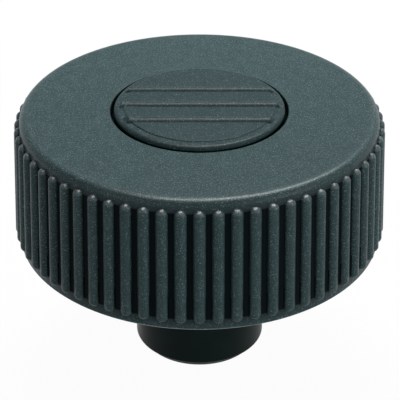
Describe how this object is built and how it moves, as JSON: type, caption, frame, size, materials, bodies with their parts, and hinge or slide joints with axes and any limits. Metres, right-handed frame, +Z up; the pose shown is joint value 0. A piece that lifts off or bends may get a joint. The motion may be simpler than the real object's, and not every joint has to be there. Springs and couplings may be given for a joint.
{
  "type": "knurled knob",
  "caption": "Knurled grip knob: drafted plastic rim with rounded ribs, long hub on a threaded steel bush, and a push-in cover cap with raised bars.",
  "frame": {"origin": "centre of the bush's end face, which is the knob's lowest face and the face it seats on", "axes": "+Z up along the knob's axis, from the bush to the cap; the cap's bars run along X; one rib's centre lies on -Y"},
  "size_m": [0.0498, 0.0498, 0.0368],
  "materials": {
    "body_plastic": "fine spark-eroded grain, matt, dark grey",
    "bush_steel": "turned, black-oxide finish",
    "cap_plastic": "fine grain, matt, dark grey"
  },
  "bodies": {
    "root": {"knob_body": "body_plastic", "hub_insert": "bush_steel", "cover_cap": "cap_plastic"}
  },
  "joints": []
}
